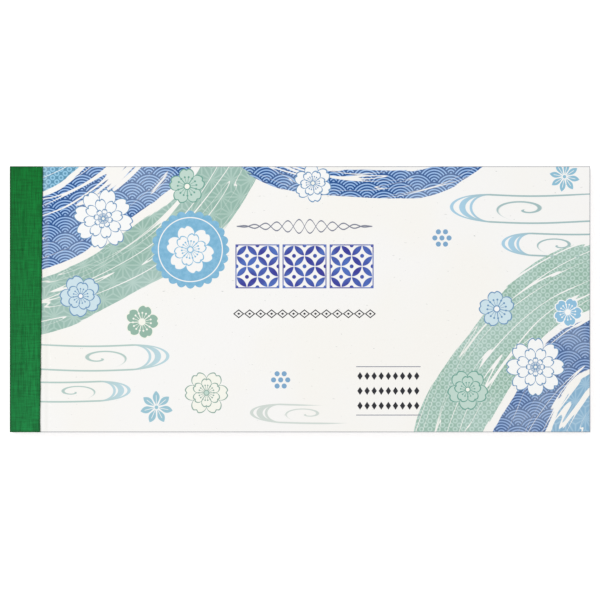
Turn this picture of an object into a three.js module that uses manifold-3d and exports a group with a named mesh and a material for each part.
// A receipt book: forms and card covers, stapled through one margin, the spine bound with cloth tape.
// Millimetres. X runs from the spine to the fore-edge, Y from the foot to the head,
// and Z up out of the front cover. The origin is under the middle of the closed book.

import * as THREE from 'three';
import { mergeVertices } from 'three/addons/utils/BufferGeometryUtils.js';
import Module from 'manifold-3d';

const wasm = await Module();
wasm.setup();

// The trimmed book
const bookLength = 180;
const bookWidth = 82.5;

// Cards
const frontCoverThickness = 0.3;
const backCoverThickness = 0.4;
const writingBoardThickness = 0.4;
const writingBoardMargin = 1.5;

// Forms: every set is a receipt and its copy
const formSets = 20;
const sheetThickness = 0.08;
const airBetweenSheets = 0.02;
const airBetweenStapledSheets = 0.01;

// Cloth tape round the spine. Its front edge runs a little crooked.
const tapeThickness = 0.2;
const frontTapeWidthAtHead = 10.3;
const frontTapeWidthAtFoot = 9.4;
const backTapeWidth = 10;

// Flat-wire staples, with the crown in front and the ends clinched behind
const wireWidth = 0.6;
const wireThickness = 0.3;
const crownLength = 12;
const clinchLength = 4;
const stapleInset = 3.6;
const headStapleFromHead = 19.6;
const footStapleFromFoot = 27.6;

// Clearances
const glueFilm = 0.02;
const wireClearance = 0.1;
const bumpSlope = 0.5;
const creaseOffset = 0.7;
const creaseStart = 0.1;
const creaseGap = 0.05;

// Heights of the part that opens, from the table up
const sheetCount = 2 * formSets;
const sheetPitch = sheetThickness + airBetweenSheets;
const writingBoardBottom = backCoverThickness + glueFilm;
const sheetsBottom = writingBoardBottom + writingBoardThickness + glueFilm;
const frontCoverBottom = sheetsBottom + sheetCount * sheetPitch;
const sheetsTop = frontCoverBottom - airBetweenSheets;

// Heights of the stapled margin. Its lowest point is the bump over the clinched ends.
const backTapeBottom = wireThickness + glueFilm;
const backMarginBottom = backTapeBottom + tapeThickness + glueFilm;
const sheetMarginsBottom = backMarginBottom + backCoverThickness + glueFilm;
const sheetMarginsTop = sheetMarginsBottom + sheetCount * (sheetThickness + airBetweenStapledSheets);
const frontMarginBottom = sheetMarginsTop + glueFilm;
const frontMarginTop = frontMarginBottom + frontCoverThickness;
const innerBottom = backTapeBottom + tapeThickness;
const innerTop = frontMarginTop + glueFilm;
const crownTop = innerTop + wireThickness;
const clinchBottom = backMarginBottom - glueFilm - wireThickness;

// Distances from the spine. The covers and sheets turn at the crease beside the tape.
const widestTape = Math.max(frontTapeWidthAtHead, frontTapeWidthAtFoot, backTapeWidth);
const crease = widestTape + creaseOffset;
const slopeStart = widestTape + creaseStart;
const marginEnd = crease - creaseGap;
const paperSpine = tapeThickness + glueFilm;

const material = (color, roughness, metalness = 0) =>
  new THREE.MeshStandardMaterial({ color, roughness, metalness });

const coverCard = material(0xf7f6f2, 0.55);
const backCard = material(0xe9e6dc, 0.75);
const greyBoard = material(0xb9b6ac, 0.85);
const receiptPaper = material(0xfbfbf7, 0.8);
const copyPaper = material(0xf6dfe2, 0.8);
const stackedPaper = material(0xf7efec, 0.85);
const greenCloth = material(0x1f753a, 0.85);
const stapleSteel = material(0xb8bcc0, 0.35, 1);

const book = new THREE.Group();
book.name = 'receipt_book';
book.position.x = -bookLength / 2;

function add(name, geometry, finish) {
  const mesh = new THREE.Mesh(geometry, finish);
  mesh.name = name;
  book.add(mesh);
  return mesh;
}

function block(low, high) {
  const size = high.map((value, axis) => value - low[axis]);
  const middle = high.map((value, axis) => (value + low[axis]) / 2);
  return new THREE.BoxGeometry(...size).translate(...middle);
}

// A section drawn in X and Z, drawn out along Y over the whole width of the book
function alongSpine(points) {
  const section = new THREE.Shape(points.map(([x, z]) => new THREE.Vector2(x, z)));
  return drawnAlongSpine(section);
}

function drawnAlongSpine(section) {
  const drawn = new THREE.ExtrudeGeometry(section, {
    depth: bookWidth,
    bevelEnabled: false,
    curveSegments: 4,
  });
  return drawn.rotateX(Math.PI / 2).translate(0, bookWidth / 2, 0);
}

function toSolid(geometry) {
  const bare = geometry.clone();
  bare.deleteAttribute('normal');
  bare.deleteAttribute('uv');
  const merged = mergeVertices(bare, 1e-4);
  const mesh = new wasm.Mesh({
    numProp: 3,
    vertProperties: new Float32Array(merged.attributes.position.array),
    triVerts: new Uint32Array(merged.index.array),
  });
  return new wasm.Manifold(mesh);
}

function toGeometry(solid) {
  const mesh = solid.getMesh();
  const geometry = new THREE.BufferGeometry();
  geometry.setAttribute('position', new THREE.BufferAttribute(mesh.vertProperties, 3));
  geometry.setIndex(new THREE.BufferAttribute(mesh.triVerts, 1));
  geometry.computeVertexNormals();
  return geometry;
}

const stapleCentres = [
  { name: 'staple_head', y: bookWidth / 2 - headStapleFromHead },
  { name: 'staple_foot', y: footStapleFromFoot - bookWidth / 2 },
];

// Holes that the staples' legs make in a layer of the margin
function stapleHoles() {
  const halfWidth = wireWidth / 2 + wireClearance;
  const halfThickness = wireThickness / 2 + wireClearance;
  const legOffset = (crownLength - wireThickness) / 2;
  const legCentres = stapleCentres.flatMap(({ y }) => [y - legOffset, y + legOffset]);
  return legCentres.map((y) =>
    block(
      [stapleInset - halfWidth, y - halfThickness, clinchBottom],
      [stapleInset + halfWidth, y + halfThickness, crownTop],
    ),
  );
}

function withStapleHoles(geometry) {
  let layer = toSolid(geometry);
  for (const hole of stapleHoles()) {
    layer = layer.subtract(toSolid(hole));
  }
  return toGeometry(layer);
}

// The back cover steps up from the table to its stapled margin
function addBackCover() {
  const backCover = alongSpine([
    [paperSpine, backMarginBottom],
    [slopeStart, backMarginBottom],
    [crease, 0],
    [bookLength, 0],
    [bookLength, backCoverThickness],
    [crease, backCoverThickness],
    [slopeStart, backMarginBottom + backCoverThickness],
    [paperSpine, backMarginBottom + backCoverThickness],
  ]);
  add('back_cover', withStapleHoles(backCover), backCard);
}

// The stapled margins of all the sheets, pressed into one block
function addSheetMargins() {
  const margins = alongSpine([
    [paperSpine, sheetMarginsBottom],
    [slopeStart, sheetMarginsBottom],
    [marginEnd, sheetsBottom],
    [marginEnd, sheetsTop],
    [slopeStart, sheetMarginsTop],
    [paperSpine, sheetMarginsTop],
  ]);
  add('sheet_margins', withStapleHoles(margins), stackedPaper);
}

function addFrontCoverMargin() {
  const margin = alongSpine([
    [paperSpine, frontMarginBottom],
    [slopeStart, frontMarginBottom],
    [marginEnd, frontCoverBottom],
    [marginEnd, frontCoverBottom + frontCoverThickness],
    [slopeStart, frontMarginTop],
    [paperSpine, frontMarginTop],
  ]);
  add('front_cover_margin', withStapleHoles(margin), coverCard);
}

// Front cover or sheet, from the crease to the fore-edge
function addLeaf(name, bottom, thickness, finish) {
  const halfWidth = bookWidth / 2;
  const leaf = block([crease, -halfWidth, bottom], [bookLength, halfWidth, bottom + thickness]);
  add(name, leaf, finish);
}

function addSheets() {
  for (let set = 1; set <= formSets; set += 1) {
    const number = String(set).padStart(2, '0');
    const receiptBottom = frontCoverBottom - (2 * set - 1) * sheetPitch;
    addLeaf(`receipt_${number}`, receiptBottom, sheetThickness, receiptPaper);
    addLeaf(`copy_${number}`, receiptBottom - sheetPitch, sheetThickness, copyPaper);
  }
}

// The loose board is cut a little smaller than the sheets above it
function addWritingBoard() {
  const halfWidth = bookWidth / 2 - writingBoardMargin;
  const board = block(
    [crease + writingBoardMargin, -halfWidth, writingBoardBottom],
    [bookLength - writingBoardMargin, halfWidth, writingBoardBottom + writingBoardThickness],
  );
  add('writing_board', board, greyBoard);
}

// One bent wire, drawn in Y and Z and as deep as the wire is wide
function addStaple(name, centre) {
  const halfCrown = crownLength / 2;
  const rightHalf = [
    [halfCrown, crownTop],
    [halfCrown, clinchBottom],
    [halfCrown - clinchLength, clinchBottom],
    [halfCrown - clinchLength, clinchBottom + wireThickness],
    [halfCrown - wireThickness, clinchBottom + wireThickness],
    [halfCrown - wireThickness, crownTop - wireThickness],
  ];
  const leftHalf = rightHalf.map(([y, z]) => [-y, z]).reverse();
  const outline = new THREE.Shape([...rightHalf, ...leftHalf].map(([y, z]) => new THREE.Vector2(y, z)));
  const wire = new THREE.ExtrudeGeometry(outline, { depth: wireWidth, bevelEnabled: false });
  const staple = add(name, wire, stapleSteel);
  staple.rotation.set(Math.PI / 2, Math.PI / 2, 0);
  staple.position.set(stapleInset - wireWidth / 2, centre, 0);
}

// Where the tape runs over a crown or the clinched ends: a low bump, hollow for the wire
function stapleBump(centre, wireMiddle) {
  const halfWidth = wireWidth / 2 + wireClearance;
  const halfLength = crownLength / 2 + wireClearance;
  const halfHeight = wireThickness / 2 + glueFilm;
  const outline = new THREE.Shape([
    new THREE.Vector2(-halfWidth, -halfLength),
    new THREE.Vector2(halfWidth, -halfLength),
    new THREE.Vector2(halfWidth, halfLength),
    new THREE.Vector2(-halfWidth, halfLength),
  ]);
  const bump = new THREE.ExtrudeGeometry(outline, {
    depth: 2 * halfHeight,
    bevelSize: bumpSlope,
    bevelThickness: tapeThickness,
    bevelSegments: 1,
  });
  bump.translate(stapleInset, centre, wireMiddle - halfHeight);
  const pocket = block(
    [stapleInset - halfWidth, centre - halfLength, wireMiddle - halfHeight],
    [stapleInset + halfWidth, centre + halfLength, wireMiddle + halfHeight],
  );
  return { bump, pocket };
}

// The tape's section, with its two outer corners rounded about the corners of the paper
function tapeSection() {
  const widestFront = Math.max(frontTapeWidthAtHead, frontTapeWidthAtFoot);
  const section = new THREE.Shape();
  section.moveTo(backTapeWidth, backTapeBottom);
  section.lineTo(backTapeWidth, innerBottom);
  section.lineTo(tapeThickness, innerBottom);
  section.lineTo(tapeThickness, innerTop);
  section.lineTo(widestFront, innerTop);
  section.lineTo(widestFront, innerTop + tapeThickness);
  section.absarc(tapeThickness, innerTop, tapeThickness, Math.PI / 2, Math.PI, false);
  section.absarc(tapeThickness, innerBottom, tapeThickness, Math.PI, 1.5 * Math.PI, false);
  return section;
}

// What is cut from the front flange to leave its crooked edge
function crookedOffcut() {
  const past = widestTape + creaseOffset;
  const halfWidth = bookWidth / 2;
  const outline = new THREE.Shape([
    new THREE.Vector2(frontTapeWidthAtFoot, -halfWidth),
    new THREE.Vector2(past, -halfWidth),
    new THREE.Vector2(past, halfWidth),
    new THREE.Vector2(frontTapeWidthAtHead, halfWidth),
  ]);
  const offcut = new THREE.ExtrudeGeometry(outline, { depth: 2 * tapeThickness, bevelEnabled: false });
  return offcut.translate(0, 0, frontMarginTop);
}

// The bumps start from the middle of the cloth's thickness
function bumpTrim() {
  const halfCloth = tapeThickness / 2;
  return toSolid(
    block(
      [halfCloth, -bookWidth / 2, innerBottom - halfCloth],
      [widestTape, bookWidth / 2, innerTop + halfCloth],
    ),
  );
}

function addBindingTape() {
  let tape = toSolid(drawnAlongSpine(tapeSection())).subtract(toSolid(crookedOffcut()));
  const trim = bumpTrim();
  const wireMiddles = [crownTop - wireThickness / 2, clinchBottom + wireThickness / 2];
  for (const { y } of stapleCentres) {
    for (const wireMiddle of wireMiddles) {
      const { bump, pocket } = stapleBump(y, wireMiddle);
      tape = tape.add(toSolid(bump).subtract(trim)).subtract(toSolid(pocket));
    }
  }
  add('binding_tape', toGeometry(tape), greenCloth);
}

addBackCover();
addWritingBoard();
addSheetMargins();
addSheets();
addFrontCoverMargin();
addLeaf('front_cover', frontCoverBottom, frontCoverThickness, coverCard);
stapleCentres.forEach(({ name, y }) => addStaple(name, y));
addBindingTape();

export default book;
